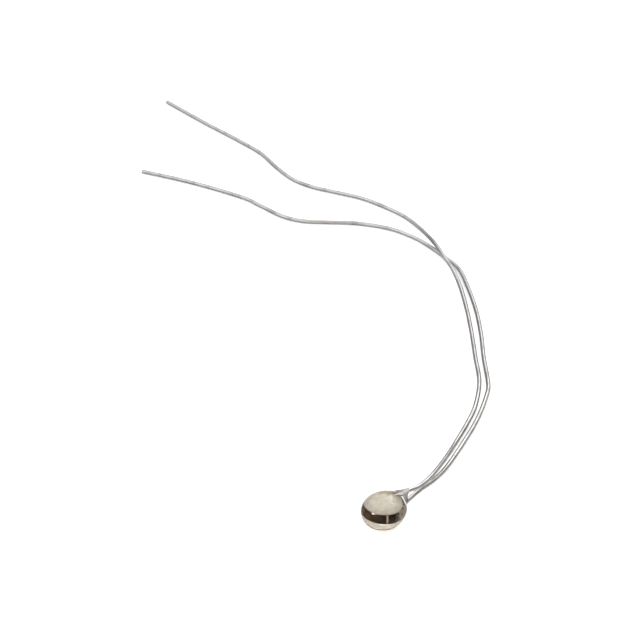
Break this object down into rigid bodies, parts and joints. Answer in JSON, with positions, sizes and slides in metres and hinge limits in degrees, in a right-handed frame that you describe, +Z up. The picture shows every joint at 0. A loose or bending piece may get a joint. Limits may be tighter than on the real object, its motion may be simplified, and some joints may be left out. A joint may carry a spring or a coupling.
{
  "type": "ntc thermistor",
  "caption": "Small disc thermistor: a dark ceramic chip in a clear resin bead, with bare tinned wire leads that curve away, cross and part.",
  "frame": {"origin": "on the table, under the centre of the whole part's bounding box", "axes": "+Z up from the table that the part lies on, +Y along the part's length, from the bead to the cut ends of the leads"},
  "size_m": [0.0212, 0.0479, 0.0019],
  "materials": {
    "ceramic": "dark sintered ceramic, nearly black with a brown cast",
    "silver_face": "fired silver, pale and mottled",
    "solder": "soft satin solder",
    "tinned_wire": "bright tinned wire",
    "clear_resin": "clear glossy epoxy with a slight yellow cast"
  },
  "bodies": {
    "root": {"ntc_chip": "ceramic", "electrode_top": "silver_face", "electrode_bottom": "silver_face", "solder_top": "solder", "solder_bottom": "solder", "lead_top": "tinned_wire", "lead_bottom": "tinned_wire", "clear_coat": "clear_resin"}
  },
  "joints": []
}
